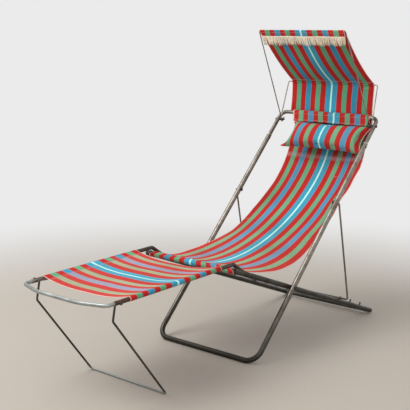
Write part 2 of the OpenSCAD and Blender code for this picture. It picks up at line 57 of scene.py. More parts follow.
camera = placed("camera", bpy.data.cameras.new("camera"))
camera.location = (2.4447, -2.8895, 1.3285)
camera.rotation_euler = (math.radians(79.2), 0, math.radians(40.85))
camera.data.sensor_width = 36
camera.data.lens = 83.05
bpy.context.scene.camera = camera

# Floor and light. A plain pale floor carries the lounger and fades into the room's even light.
# A wide soft light stands above its left side and a weaker one in front.
ROOM_LIGHT = (0.83, 0.83, 0.83)
FLOOR_TONE = (0.42, 0.378, 0.325)
FLOOR_HALF = 40
FADE_FROM, FADE_TO = 1.0, 2.9


def preset(node, **values):
    """Sets inputs of a shader node. An underscore stands for the space in an input's name."""
    for name, value in values.items():
        node.inputs[name.replace("_", " ")].default_value = value


def new_finish(name):
    """A new material, its nodes, its links and its shader."""
    finish = bpy.data.materials.new(name)
    finish.use_nodes = True
    tree = finish.node_tree
    return finish, tree.nodes, tree.links, tree.nodes["Principled BSDF"]


floor_mesh = bpy.data.meshes.new("floor")
corners = [(x * FLOOR_HALF, y * FLOOR_HALF, 0) for x, y in ((-1, -1), (1, -1), (1, 1), (-1, 1))]
floor_mesh.from_pydata(corners, [], [(0, 1, 2, 3)])
floor = placed("floor", floor_mesh)
floor_paint, floor_nodes, floor_links, floor_shader = new_finish("floor paint")
preset(floor_shader, Base_Color=(*FLOOR_TONE, 1), Roughness=0.7)
floor_place = floor_nodes.new("ShaderNodeTexCoord")
floor_reach = floor_nodes.new("ShaderNodeVectorMath")
floor_reach.operation = "LENGTH"
floor_links.new(floor_place.outputs["Object"], floor_reach.inputs[0])
floor_fade = floor_nodes.new("ShaderNodeMapRange")
floor_fade.interpolation_type = "SMOOTHSTEP"
preset(floor_fade, From_Min=FADE_FROM, From_Max=FADE_TO)
floor_links.new(floor_reach.outputs["Value"], floor_fade.inputs["Value"])
floor_glow = floor_nodes.new("ShaderNodeEmission")
preset(floor_glow, Color=(*ROOM_LIGHT, 1))
floor_mix = floor_nodes.new("ShaderNodeMixShader")
floor_links.new(floor_fade.outputs["Result"], floor_mix.inputs["Fac"])
floor_links.new(floor_shader.outputs["BSDF"], floor_mix.inputs[1])
floor_links.new(floor_glow.outputs["Emission"], floor_mix.inputs[2])
floor_links.new(floor_mix.outputs["Shader"], floor_nodes["Material Output"].inputs["Surface"])
floor_mesh.materials.append(floor_paint)
room = bpy.data.worlds.new("room")
bpy.context.scene.world = room
room.use_nodes = True
preset(room.node_tree.nodes["Background"], Color=(*ROOM_LIGHT, 1), Strength=1.0)


def soft_light(name, place, aim, size, power):
    lamp = placed(name, bpy.data.lights.new(name, "AREA"))
    lamp.data.shape = "SQUARE"
    lamp.data.size = size
    lamp.data.energy = power
    lamp.location = place
    lamp.rotation_euler = (Vector(aim) - Vector(place)).to_track_quat("-Z", "Y").to_euler()


bpy.context.scene.view_settings.view_transform = "Standard"
soft_light("window", (-1.2, -1.6, 3.4), (0, 0.2, 0.4), 2.4, 95)
soft_light("fill", (3.0, -2.6, 2.2), (0, 0.2, 0.6), 2.0, 14)


# Places in the side view, y and z in metres. The two frames cross at a bolt, and every tube is
# laid out from these places, which are the middles of the real tubes. Right is towards +x.
def along(start, degrees, length):
    angle = math.radians(degrees)
    return (start[0] + math.cos(angle) * length, start[1] + math.sin(angle) * length)


GROUND_BAR = (-0.06448, 0.011)
BACK_TILT = 45.8
SEAT_TILT = 21.1402
BACK_LENGTH = 1.263
CROSSING = along(GROUND_BAR, BACK_TILT, 0.3574)
TOP_BAR = along(GROUND_BAR, BACK_TILT, BACK_LENGTH)
FRONT_BAR = along(CROSSING, 180 - SEAT_TILT, 0.3525)
HANDS = ((1, "right"), (-1, "left"))


# Back frame. One bent tube of worn bare steel makes the ground bar and the lower rails. A
# thinner bow is pushed into its ends, riveted, and closes the top.
def unit(way):
    return way / np.linalg.norm(way)


def bend_path(points, radii, steps=10):
    """Points along straights and round bends; one radius for each inner point."""
    path = [np.array(points[0], float)]
    for i in range(1, len(points) - 1):
        a, p, b = (np.array(points[i + k], float) for k in (-1, 0, 1))
        u, v = unit(p - a), unit(b - p)
        turn = math.acos(max(-1, min(1, float(u @ v))))
        reach = radii[i - 1] * math.tan(turn / 2)
        centre = p - u * reach + (v - u * (u @ v)) / math.sin(turn) * radii[i - 1]
        out = (p - u * reach - centre) / radii[i - 1]
        for k in range(steps + 1):
            angle = turn * k / steps
            path.append(centre + radii[i - 1] * (out * math.cos(angle) + u * math.sin(angle)))
    path.append(np.array(points[-1], float))
    return path


def skin(bm, rings, capped=True):
    """Faces from ring to ring, and over the first and last one."""
    for one, two in zip(rings, rings[1:]):
        for k in range(len(one)):
            n = (k + 1) % len(one)
            bm.faces.new((one[k], one[n], two[n], two[k]))
    if capped:
        bm.faces.new(rings[0][::-1])
        bm.faces.new(rings[-1])


def tube(name, path, radius, wall=None, sides=28):
    """A round tube or rod along a path, with smooth sides and real end faces."""
    path = [p for i, p in enumerate(path) if i == 0 or np.linalg.norm(p - path[i - 1]) > 1e-6]
    radii = radius if hasattr(radius, "__len__") else [radius] * len(path)
    bm = bmesh.new()
    tangents = [path[min(i + 1, len(path) - 1)] - path[max(i - 1, 0)] for i in range(len(path))]
    normal = np.cross(tangents[0], (0.31, 0.47, 0.83))
    rings = []
    for p, t, r in zip(path, tangents, radii):
        t = unit(t)
        normal = unit(normal - t * (normal @ t))
        side = np.cross(t, normal)
        rings.append([(p, normal * math.cos(a) + side * math.sin(a), r)
                      for a in (2 * math.pi * k / sides for k in range(sides))])
    outer = [[bm.verts.new(p + d * r) for p, d, r in ring] for ring in rings]
    skin(bm, outer, capped=not wall)
    if wall:
        inner = [[bm.verts.new(p + d * (r - wall)) for p, d, r in ring] for ring in rings]
        skin(bm, inner, capped=False)
        for end in (0, -1):
            skin(bm, [outer[end], inner[end]], capped=False)
    return shown(name, bm)


def shown(name, bm, sharp=40):
    """Puts a mesh in the scene, smooth but for its sharp edges."""
    bmesh.ops.recalc_face_normals(bm, faces=bm.faces)
    for face in bm.faces:
        face.smooth = True
    for edge in bm.edges:
        if len(edge.link_faces) == 2 and edge.calc_face_angle(0) > math.radians(sharp):
            edge.smooth = False
    mesh = bpy.data.meshes.new(name)
    bm.to_mesh(mesh)
    bm.free()
    return placed(name, mesh)


def dress(piece, material, slot, body, *nodes):
    piece.data.materials.append(material)
    if body:
        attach(piece, body)
    if nodes:
        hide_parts(*nodes)
    return piece


def mixed(nodes, links, factor, a, b, mode="MIX"):
    """A mixed colour. Each of the three is a number, a colour or the output of a node."""
    mix = nodes.new("ShaderNodeMix")
    mix.data_type = "RGBA"
    mix.blend_type = mode
    for socket, value in ((mix.inputs["Factor"], factor), (mix.inputs[6], a), (mix.inputs[7], b)):
        if isinstance(value, (int, float)):
            socket.default_value = value
        elif isinstance(value, tuple):
            socket.default_value = (*value, 1)
        else:
            links.new(value, socket)
    return mix.outputs[2]


def steel(name, bare, dark, stain, rough, metallic=1.0, stained=0.35, low_shade_and_rub=None):
    """Old steel: a mottled tone, darker patches, rust stains, fine pits and another tone low down: painted
    shade towards the floor on the back tube, and rubbed bare steel on the leg's foot.
    """
    material, nodes, links, shader = new_finish(name)
    preset(shader, Metallic=metallic)
    place = nodes.new("ShaderNodeTexCoord")

    def noise(size, detail, roughness=0.6):
        texture = nodes.new("ShaderNodeTexNoise")
        preset(texture, Scale=size, Detail=detail, Roughness=roughness)
        links.new(place.outputs["Object"], texture.inputs["Vector"])
        return texture.outputs["Fac"]

    def ranged(factor, low, high, to_low=0.0, to_high=1.0):
        ramp = nodes.new("ShaderNodeMapRange")
        preset(ramp, From_Min=low, From_Max=high, To_Min=to_low, To_Max=to_high)
        links.new(factor, ramp.inputs["Value"])
        return ramp.outputs["Result"]

    def between(factor, low, high, a, b):
        return mixed(nodes, links, ranged(factor, low, high), a, b)

    tone = between(noise(22, 6), 0.35, 0.65, bare, dark)
    specks = noise(260, 4, 0.7)
    tone = between(specks, 0.60, 0.80, tone, tuple(c * 0.6 for c in dark))
    patches = noise(9, 8, 0.72)
    tone = between(patches, 0.62 - 0.2 * stained, 0.74 - 0.1 * stained, tone, stain)
    if low_shade_and_rub:
        top, bottom, colour = low_shade_and_rub
        height = nodes.new("ShaderNodeSeparateXYZ")
        links.new(place.outputs["Object"], height.inputs["Vector"])
        tone = between(height.outputs["Z"], top, bottom, tone, colour)
    links.new(tone, shader.inputs["Base Color"])
    polish = ranged(patches, 0.35, 0.7, rough * 0.75, min(1.0, rough * 1.6))
    links.new(polish, shader.inputs["Roughness"])
    bump = nodes.new("ShaderNodeBump")
    preset(bump, Strength=0.05, Distance=0.0003)
    links.new(specks, bump.inputs["Height"])
    links.new(bump.outputs["Normal"], shader.inputs["Normal"])
    return material


# Painted shade: low down, this steel darkens to near black towards the floor, where the back tube faces the
# darker floor.
worn_steel = steel("worn steel", (0.325, 0.295, 0.255), (0.175, 0.155, 0.128), (0.095, 0.065, 0.045), 0.32,
                   low_shade_and_rub=(0.42, 0.01, (0.043, 0.039, 0.032)))
BACK_HALF = 0.265
BOW_RADIUS, BOW_BEND = 0.009, 0.032
BOW_SIDE, BOW_PLUG = 0.113, 0.06
bow_from = BACK_LENGTH - BOW_BEND - BOW_SIDE


def on_back(x, length):
    """A point of the back frame: x across, length up the rails."""
    return (x, *along(GROUND_BAR, BACK_TILT, length))


lower_tube = tube("back-lower-tube", bend_path(
    [on_back(BACK_HALF, bow_from), on_back(BACK_HALF, 0), on_back(-BACK_HALF, 0),
     on_back(-BACK_HALF, bow_from)], [0.055, 0.055], 14), 0.011, wall=0.0015, sides=36)
dress(lower_tube, worn_steel, "worn_steel", "back_frame", "back_lower_tube")
top_bow = tube("back-top-bow", bend_path(
    [on_back(BACK_HALF, bow_from - BOW_PLUG), on_back(BACK_HALF, BACK_LENGTH),
     on_back(-BACK_HALF, BACK_LENGTH), on_back(-BACK_HALF, bow_from - BOW_PLUG)],
    [BOW_BEND, BOW_BEND], 12), BOW_RADIUS, wall=0.0015, sides=32)
dress(top_bow, worn_steel, "worn_steel", "back_frame", "back_top_bow")

# Rolled rings. Each end of the lower tube is rolled in over the bow, and the roller leaves a
# bright ring of bare steel there.
bright_steel = steel("bright steel", (0.52, 0.49, 0.44), (0.34, 0.31, 0.27), (0.20, 0.14, 0.10), 0.3,
                     stained=0.1)
ring_profile = [(-0.0045, 0.0111), (-0.002, 0.0114), (0.001, 0.0111), (0.0035, 0.0098), (0.0045, 0.0091)]
for side, hand in HANDS:
    ring = tube(f"rolled-ring-{hand}",
                [np.array(on_back(side * BACK_HALF, bow_from + a)) for a, r in ring_profile],
                [r for a, r in ring_profile], sides=36)
    dress(ring, bright_steel, "worn_steel", "back_frame")

# Bolts, nuts, washers, spacers, rivets, studs and the seat's two cross bars. They are steel,
# tarnished nearly black, and they keep the shapes of their solids.
dark_steel = steel("dark steel", (0.075, 0.07, 0.06), (0.038, 0.035, 0.03), (0.085, 0.055, 0.035), 0.38,
                   metallic=0.8)
for node in ("bow_rivets", "pivot_bolts", "pivot_spacers", "pivot_nuts", "footrest_bolts",
             "footrest_spacers", "footrest_nuts", "prop_end_washers", "leg_end_washers",
             "canopy_bolts", "canopy_inner_washers", "canopy_wing_nuts", "canopy_eye_washers",
             "stop_studs", "seat_front_bar", "seat_rear_bar"):
    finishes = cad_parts[node].data.materials
    finishes.clear()
    finishes.append(dark_steel)

# Seat frame. Two straight tubes with closed ends and two cross bars welded between them, all
# tarnished nearly black. Each bar has a bead of weld round it where it meets a rail.
SEAT_HALF = 0.238
SEAT_REAR = 0.7125
rail_profile = [(-0.3635, 0.0005), (-0.3633, 0.0075), (-0.3625, 0.0098), (-0.361, 0.0107), (-0.358, 0.011),
                (0.707, 0.011), (0.7105, 0.0105), (0.712, 0.0095), (0.7124, 0.008), (SEAT_REAR, 0.0005)]
for side, hand in HANDS:
    rail = tube(f"seat-rail-{hand}",
                [np.array((side * SEAT_HALF, *along(CROSSING, -SEAT_TILT, a))) for a, r in rail_profile],
                [r for a, r in rail_profile], sides=36)
    dress(rail, dark_steel, "dark_steel", "seat_frame", f"seat_rail_{hand}")
REAR_BAR = along(CROSSING, -SEAT_TILT, SEAT_REAR - 0.028)
BAR_RADIUS, WELD_SIZE = 0.0108, 0.0022
WELD_AT = SEAT_HALF - 0.0105


def weld(name, x, bar):
    """A bead of weld round a cross bar."""
    bm = bmesh.new()
    axis = np.array((1.0, 0.0, 0.0))
    across = unit(np.cross(axis, (0.3, 0.5, 0.8)))
    third = np.cross(axis, across)
    turns, sides = 48, 10
    rings = []
    for a in (2 * math.pi * k / turns for k in range(turns)):
        out = across * math.cos(a) + third * math.sin(a)
        bead = WELD_SIZE * (1 + 0.25 * math.sin(11 * a))
        rings.append([bm.verts.new(np.array((x, *bar)) + out * (BAR_RADIUS + bead * math.cos(b))
                                   + axis * bead * math.sin(b))
                      for b in (2 * math.pi * j / sides for j in range(sides))])
    skin(bm, rings + rings[:1], capped=False)
    dress(shown(name, bm), dark_steel, "dark_steel", "seat_frame")


for side, hand in HANDS:
    weld(f"front-weld-{hand}", side * WELD_AT, FRONT_BAR)
    weld(f"rear-weld-{hand}", side * WELD_AT, REAR_BAR)

# Prop. One steel rod bent to a bail. Its ends turn in through the back frame's rails and its
# foot stands on the seat rails, against the studs.
PROP_TOP = along(GROUND_BAR, BACK_TILT, 0.792)
PROP_FOOT = (0.578581, 0.131319)
PROP_HALF, PROP_END = 0.2815, 0.25
prop_rod = tube("prop-rod", bend_path(
    [(PROP_END, *PROP_TOP), (PROP_HALF, *PROP_TOP), (PROP_HALF, *PROP_FOOT), (-PROP_HALF, *PROP_FOOT),
     (-PROP_HALF, *PROP_TOP), (-PROP_END, *PROP_TOP)], [0.0052, 0.012, 0.012, 0.0052], 8), 0.004, sides=20)
prop_steel = steel("prop steel", (0.30, 0.275, 0.24), (0.17, 0.15, 0.125), (0.12, 0.08, 0.055), 0.32)
dress(prop_rod, prop_steel, "worn_steel", "prop", "prop_bail")

# Footrest rails. Each is one tube, bent up over the front bar and back down to its bolt. The
# end is sleeved where the end tube is pushed in: rusty on the right, dull bare steel on the left.
rail_steel = steel("rail steel", (0.115, 0.10, 0.085), (0.062, 0.053, 0.044), (0.11, 0.065, 0.04), 0.4,
                   metallic=0.8)
rusty_steel = steel("rusty steel", (0.085, 0.05, 0.035), (0.035, 0.022, 0.016), (0.15, 0.05, 0.022), 0.6,
                    metallic=0.6, stained=0.9)
FOOT_BOLT = (-0.06341157, 0.363157)
ARM_ANGLE, ARM_LENGTH = 144.673, 0.102
RAIL_ANGLE, RAIL_LENGTH = 181.3, 0.632
RAIL_RADIUS = 0.008
FOOT_HALF = 0.2165
FOOT_BEND = along(FOOT_BOLT, ARM_ANGLE, ARM_LENGTH)
FOOT_END = along(FOOT_BEND, RAIL_ANGLE, RAIL_LENGTH)
arm_end = along(FOOT_BOLT, ARM_ANGLE, -0.008)
sleeve_profile = [(0.0006, 0.0072), (-0.0005, 0.0080), (-0.004, 0.0083), (-0.011, 0.0081), (-0.03, 0.0083),
                  (-0.052, 0.0081), (-0.074, 0.0083), (-0.078, 0.0079)]
for (side, hand), look, sleeve_steel in zip(HANDS, ("rusty", "dull"), (rusty_steel, worn_steel)):
    x = side * FOOT_HALF
    rail = tube(f"footrest-rail-{hand}",
                bend_path([(x, *arm_end), (x, *FOOT_BEND), (x, *FOOT_END)], [0.028], 12),
                RAIL_RADIUS, wall=0.001, sides=28)
    dress(rail, rail_steel, "rusty_steel", "footrest", f"footrest_rail_{hand}")
    sleeve = tube(f"{look}-end-{hand}",
                  [np.array((x, *along(FOOT_END, RAIL_ANGLE, a))) for a, r in sleeve_profile],
                  [r for a, r in sleeve_profile], sides=28)
    dress(sleeve, sleeve_steel, "rusty_steel", "footrest")

# End tube of the footrest. A zinc-coated bow, pushed into both rails and pinned there by the
# leg's rod.
zinc_steel = steel("zinc steel", (0.40, 0.425, 0.41), (0.27, 0.285, 0.275), (0.17, 0.15, 0.12), 0.42,
                   stained=0.12)
end_places = [(1, -0.045), (1, 0.034), (0.5, 0.068), (-0.5, 0.068), (-1, 0.034), (-1, -0.045)]
end_bow = tube("footrest-end-bow", bend_path(
    [(FOOT_HALF * share, *along(FOOT_END, RAIL_ANGLE, a)) for share, a in end_places],
    [0.026, 0.18, 0.18, 0.026], 14), 0.00675, wall=0.0012, sides=28)
dress(end_bow, zinc_steel, "galvanised_steel", "footrest", "footrest_end_bow")

# Footrest leg. One dark rod with a knee on each side. Its ends turn out through the rails.
# Its foot is rubbed bright where it stands on the floor.
LEG_HINGE = along(FOOT_BEND, RAIL_ANGLE, 0.610)
LEG_KNEE = (LEG_HINGE[0] - 0.014, LEG_HINGE[1] - 0.068)
LEG_FOOT = (LEG_HINGE[0] + 0.244, 0.004)
LEG_HALF, LEG_END = 0.2, 0.2285
leg_rod = tube("leg-rod", bend_path(
    [(LEG_END, *LEG_HINGE), (LEG_HALF, *LEG_HINGE), (LEG_HALF, *LEG_KNEE), (LEG_HALF, *LEG_FOOT),
     (-LEG_HALF, *LEG_FOOT), (-LEG_HALF, *LEG_KNEE), (-LEG_HALF, *LEG_HINGE), (-LEG_END, *LEG_HINGE)],
    [0.0052, 0.012, 0.009, 0.009, 0.012, 0.0052], 8), 0.004, sides=20)
leg_steel = steel("leg steel", (0.085, 0.08, 0.068), (0.042, 0.038, 0.032), (0.09, 0.055, 0.035), 0.36,
                  metallic=0.8, low_shade_and_rub=(0.016, 0.010, (0.26, 0.28, 0.265)))
dress(leg_rod, leg_steel, "dark_steel", "footrest_leg", "footrest_leg")


# Sling. One length of striped deck-chair canvas, sewn into a sleeve round the top bow and
# another round the front bar. It is drawn in where the footrest's arms pass.
def arc_points(centre, radius, first, last, steps):
    return [np.array(along(centre, first + (last - first) * k / steps, radius)) for k in range(steps + 1)]


def hung_curve(a, b, c, d, steps):
    a, b, c, d = (np.array(p, float) for p in (a, b, c, d))
    return [a * (1 - t) ** 3 + b * 3 * t * (1 - t) ** 2 + c * 3 * t * t * (1 - t) + d * t ** 3
            for t in (k / steps for k in range(steps + 1))]


def resampled(points, pitch):
    points = np.array(points)
    run = np.concatenate([[0], np.cumsum(np.linalg.norm(np.diff(points, axis=0), axis=1))])
    count = max(2, round(run[-1] / pitch))
    at = np.linspace(0, run[-1], count + 1)
    return np.stack([np.interp(at, run, points[:, k]) for k in range(points.shape[1])], 1), at


CANVAS_WIDTH, CANVAS_HALF, CANVAS_THICK = 0.452, 0.226, 0.0011
WOVEN_HALF = 0.2255
columns = 57
u = np.linspace(-1, 1, columns)


def lay_threads(piece, across, down, sheen_and_wear):
    """Gives each point its place among the cloth's threads, and how much painted sheen and wear it has
    there.
    """
    values = np.stack([across, down, np.zeros_like(across) + sheen_and_wear], -1)
    threads = piece.data.attributes.new("threads", "FLOAT_VECTOR", "POINT")
    threads.data.foreach_set("vector", values.astype(np.float32).reshape(-1))


def canvas_piece(name, places, across, down, cut_at=0.0, sheen_and_wear=0.0):
    """A sheet from a grid of places. across and down are the thread positions in the cloth, and
    cut_at is where on the roll it was cut, so that no two pieces are mottled alike."""
    rows, columns = places.shape[:2]
    mesh = bpy.data.meshes.new(name)
    faces = [(k, k + 1, k + columns + 1, k + columns)
             for k in range((rows - 1) * columns) if (k + 1) % columns]
    mesh.from_pydata(places.reshape(-1, 3).tolist(), [], faces)
    mesh.polygons.foreach_set("use_smooth", [True] * len(mesh.polygons))
    mesh.update()
    piece = placed(name, mesh)
    lay_threads(piece, *np.broadcast_arrays(across, down + cut_at), sheen_and_wear)
    body = piece.modifiers.new("cloth thickness", "SOLIDIFY")
    body.thickness = CANVAS_THICK
    body.offset = 0
    return piece


def nearest(run, at):
    return int(np.argmin(np.abs(run - at)))


# The stripes: where each ends, in millimetres from the middle, and its colour when fresh and its paler
# colour for painted sheen and wear, the sheen being how the cloth looks at a grazing angle to the light.
WHITE = (0.56, 0.93, 0.88), (0.47, 0.78, 0.74)
CYAN = (0.024, 0.34, 0.49), (0.085, 0.38, 0.49)
RED = (0.485, 0.013, 0.011), (0.55, 0.050, 0.042)
GREEN = (0.100, 0.395, 0.225), (0.37, 0.41, 0.26)
BLUE = (0.018, 0.30, 0.455), (0.31, 0.33, 0.43)
LILAC = (0.33, 0.25, 0.42), (0.50, 0.30, 0.34)
SELVEDGE = (0.86, 0.52, 0.46), (0.90, 0.62, 0.55)
STRIPES = [(4.1, WHITE), (29.8, CYAN), (31.2, LILAC), (59.5, RED), (85.7, GREEN), (112, RED),
           (113.4, LILAC), (141, BLUE), (142.5, LILAC), (169, RED), (195, GREEN), (222.5, RED),
           (230, SELVEDGE)]
STRIPES_END = STRIPES[-1][0]


def striped_canvas(name):
    """Plain-woven cotton: dyed stripes, painted sheen and wear, the weave's threads, slubs, soiling, fading
    and creases.
    """
    material, nodes, links, shader = new_finish(name)
    preset(shader, Roughness=0.86, Specular_IOR_Level=0.12, Sheen_Weight=0.03, Sheen_Roughness=0.5,
           Sheen_Tint=(1.0, 0.90, 0.84, 1))
    threads = nodes.new("ShaderNodeAttribute")
    threads.attribute_name = "threads"

    def maths(operation, a, b=None):
        node = nodes.new("ShaderNodeMath")
        node.operation = operation
        for socket, value in zip(node.inputs, (a, b)):
            if value is None:
                continue
            if isinstance(value, (int, float)):
                socket.default_value = value
            else:
                links.new(value, socket)
        return node.outputs[0]

    def noise(scale, detail, stretch=(1, 1, 1)):
        shift = nodes.new("ShaderNodeMapping")
        preset(shift, Scale=stretch)
        links.new(threads.outputs["Vector"], shift.inputs["Vector"])
        texture = nodes.new("ShaderNodeTexNoise")
        preset(texture, Scale=scale, Detail=detail)
        links.new(shift.outputs["Vector"], texture.inputs["Vector"])
        return texture.outputs["Fac"]

    def blended(factor, a, b, mode="MIX"):
        return mixed(nodes, links, factor, a, b, mode)

    parts = nodes.new("ShaderNodeSeparateXYZ")
    links.new(threads.outputs["Vector"], parts.inputs["Vector"])
    wander = maths("MULTIPLY", maths("SUBTRACT", noise(60, 2), 0.5), 0.0012)
    side = maths("ABSOLUTE", maths("ADD", parts.outputs["X"], wander))

    # With worn set, the stripes take their paler tones of painted sheen and wear.
    def stripes(worn):
        ramp = nodes.new("ShaderNodeValToRGB")
        ramp.color_ramp.interpolation = "CONSTANT"
        links.new(maths("DIVIDE", side, STRIPES_END / 1000), ramp.inputs["Fac"])
        start = 0.0
        stops = ramp.color_ramp.elements
        for i, (edge, tones) in enumerate(STRIPES):
            stop = stops[i] if i < 2 else stops.new(start)
            stop.position = start
            stop.color = (*tones[worn], 1)
            start = edge / STRIPES_END
        return ramp.outputs["Color"]

    # The threads' third value blends the fresh stripes into their paler tones: painted sheen, as at a
    # grazing angle to the light, and wear.
    colour = blended(parts.outputs["Z"], stripes(0), stripes(1))
    # The weft crosses every stripe and dulls it a little; slubs run along the warp.
    thread_pitch = 0.0013
    warp = maths("SINE", maths("MULTIPLY", parts.outputs["X"], 2 * math.pi / thread_pitch))
    weft = maths("SINE", maths("MULTIPLY", parts.outputs["Y"], 2 * math.pi / thread_pitch))
    weave = maths("MULTIPLY", warp, weft)
    colour = blended(maths("MULTIPLY", maths("ADD", weave, 1.0), 0.045), colour, (0.46, 0.12, 0.10))
    slub = noise(900, 2, (1.0, 0.05, 1.0))
    colour = blended(maths("MULTIPLY", maths("SUBTRACT", slub, 0.40), 0.9), colour, (0.55, 0.52, 0.50),
                     "MULTIPLY")
    soil = noise(5, 6)
    colour = blended(maths("MULTIPLY", maths("SUBTRACT", soil, 0.38), 2.0), colour, (0.76, 0.68, 0.64),
                     "MULTIPLY")
    crease = maths("GREATER_THAN", noise(16, 4, (0.25, 2.2, 1.0)), 0.71)
    colour = blended(maths("MULTIPLY", crease, 0.08), colour, (0.95, 0.85, 0.82))
    # Where the sling leaves the pillow's shade the cloth was once folded, and the fold has faded.
    fold_at, fold_width = 0.270, 0.017
    from_fold = maths("ABSOLUTE", maths("SUBTRACT", parts.outputs["Y"], fold_at))
    faded = maths("MAXIMUM", maths("SUBTRACT", 1.0, maths("DIVIDE", from_fold, fold_width)), 0.0)
    faded = maths("MULTIPLY", faded, noise(22, 3, (1.0, 0.4, 1.0)))
    colour = blended(maths("MULTIPLY", faded, 0.36), colour, (0.78, 0.74, 0.78))
    links.new(colour, shader.inputs["Base Color"])
    bump = nodes.new("ShaderNodeBump")
    preset(bump, Strength=0.35, Distance=0.0004)
    height = maths("ADD", weave, maths("MULTIPLY", slub, 1.5))
    links.new(height, bump.inputs["Height"])
    links.new(bump.outputs["Normal"], shader.inputs["Normal"])
    return material


canvas = striped_canvas("striped canvas")
SLING_FREE = 1.273
TOP_SLEEVE, FRONT_SLEEVE = 0.0101, 0.0122
LOOP_FROM, LOOP_TO = 345, 26
sling_side = (arc_points(TOP_BAR, TOP_SLEEVE, LOOP_FROM, LOOP_TO, 22)
              + hung_curve((0.825193, 0.920727), (0.95959, 0.632521), (0.257056, 0.225672),
                           (-0.1390916, 0.405373), 200)
              + arc_points(FRONT_BAR, FRONT_SLEEVE, 66.5, 330, 22))
sling_line, sling_run = resampled(sling_side, 0.009)
top_loop = TOP_SLEEVE * math.radians(LOOP_FROM - LOOP_TO)
slope = np.gradient(sling_line, axis=0)
slope = slope / np.linalg.norm(slope, axis=1)[:, None]
outward = np.stack([slope[:, 1], -slope[:, 0]], 1)
share = np.clip((sling_run - top_loop) / SLING_FREE, 0, 1)
# How far each edge stands up from the sling's middle line, and how wide it is, along its length.
near_lift = np.interp(share, [0, 0.05, 0.09, 0.126, 0.154, 0.182, 0.21, 0.239, 0.267, 0.30, 0.33, 0.352,
                              0.38, 0.408, 0.437, 0.465, 0.55, 0.58, 0.606, 0.635, 0.663, 0.70, 0.75,
                              0.79, 0.83, 0.88, 0.94, 1],
                      [0, 0.012, 0.034, 0.050, 0.046, 0.041, 0.038, 0.043, 0.046, 0.043, 0.044, 0.048,
                       0.048, 0.038, 0.028, 0.023, 0.011, 0.002, -0.008, -0.015, -0.020, -0.023, -0.022,
                       -0.018, -0.012, -0.007, -0.003, 0])
far_lift = np.interp(share, [0, 0.1, 0.2, 0.29, 0.36, 0.44, 0.51, 0.58, 0.65, 0.72, 0.83, 0.9, 1],
                     [0, -0.002, -0.006, -0.007, -0.002, -0.001, -0.007, -0.010, -0.001, 0.006, 0.006,
                      0.001, 0])
half_width = np.interp(share, [0, 0.03, 0.5, 0.80, 0.90, 0.955, 0.985, 1],
                       [0.226, 0.226, 0.2255, 0.224, 0.213, 0.2045, 0.2045, 0.2055])
half_width = np.where(sling_run > top_loop + SLING_FREE + 0.012, 0.2245, half_width)
# On the top bow the cloth is bunched to the right, and it spreads to its full width below.
bunched = 0.034 * (1 - np.clip((sling_run - top_loop) / 0.17, 0, 1)) ** 1.5
places = np.zeros((len(sling_line), columns, 3))
for i, (y, z) in enumerate(sling_line):
    lift = (near_lift[i] * np.clip((u - 0.25) / 0.75, 0, 1) ** 1.6
            + far_lift[i] * np.clip((-u - 0.4) / 0.6, 0, 1) ** 1.5)
    ripple = 0.0016 * np.sin(u * 9 + 6 * sling_run[i]) * math.sin(math.pi * share[i]) * np.abs(u)
    lift = lift - ripple
    places[i, :, 0] = u * half_width[i] + bunched[i] * (1 - u) / 2
    places[i, :, 1] = y + outward[i, 0] * lift
    places[i, :, 2] = z + outward[i, 1] * lift
# Painted sheen: down towards the seat the sling takes its paler stripe tones, as the cloth looks at a
# grazing angle there; the front sleeve keeps a little of it.
seat_sheen = 0.14 + 0.64 * np.clip((sling_run - 0.55) / 0.7, 0, 1) ** 1.3
seat_sheen = np.where(sling_run > top_loop + SLING_FREE - 0.011, 0.1, seat_sheen)
sling = canvas_piece("sling-canvas", places, u * WOVEN_HALF, sling_run[:, None], sheen_and_wear=seat_sheen[:, None])
dress(sling, canvas, "striped_canvas", None, "sling")
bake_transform(sling)


def cotton(name, size, detail, dark, light, rough, sheen=0.0):
    """Cotton yarn, mottled between two tones. dark and light are each a noise level and a tone."""
    material, nodes, links, shader = new_finish(name)
    preset(shader, Roughness=rough, Sheen_Weight=sheen)
    place = nodes.new("ShaderNodeTexCoord")
    mottle = nodes.new("ShaderNodeTexNoise")
    preset(mottle, Scale=size, Detail=detail)
    links.new(place.outputs["Object"], mottle.inputs["Vector"])
    ramp = nodes.new("ShaderNodeValToRGB")
    for stop, (level, tone) in zip(ramp.color_ramp.elements, (dark, light)):
        stop.position = level
        stop.color = (*tone, 1)
    links.new(mottle.outputs["Fac"], ramp.inputs["Fac"])
    links.new(ramp.outputs["Color"], shader.inputs["Base Color"])
    return material


cotton_thread = cotton("cotton thread", 240, 2, (0.0, (0.62, 0.36, 0.31)), (1.0, (0.95, 0.80, 0.74)), 0.8)
STITCH_PITCH, STITCH_LENGTH, STITCH_RADIUS = 0.0052, 0.0036, 0.00042


def stitches(name, lines, body):
    """Rows of single stitches in cotton thread. Each line is a list of places on the cloth."""
    bm = bmesh.new()
    for line in lines:
        spots, run = resampled(line, STITCH_PITCH)
        for a, b in zip(spots, spots[1:]):
            way = unit(b - a)
            side = unit(np.cross(way, (0.2, 0.5, 0.84)))
            up = np.cross(way, side)
            rings = []
            for t, swell in ((0, 0.45), (0.2, 1.0), (0.8, 1.0), (1, 0.45)):
                centre = a + way * STITCH_LENGTH * t
                r = STITCH_RADIUS * swell
                rings.append([bm.verts.new(centre + (side * math.cos(q) + up * math.sin(q)) * r)
                              for q in (0, 1.571, 3.142, 4.712)])
            skin(bm, rings)
    dress(shown(name, bm, sharp=180), cotton_thread, "fringe", body)


# Two rows of stitches hold the sleeve round the front bar.
sleeve_rows = []
for back in (0.036, 0.041):
    k = nearest(sling_run, top_loop + SLING_FREE - back)
    rise = outward[k] * 0.0009
    sleeve_rows.append([(x, sling_line[k, 0] + rise[0], sling_line[k, 1] + rise[1])
                        for x in np.linspace(-half_width[k] + 0.003, half_width[k] - 0.003, 40)])
stitches("sling-front-stitches", sleeve_rows, "seat_frame")

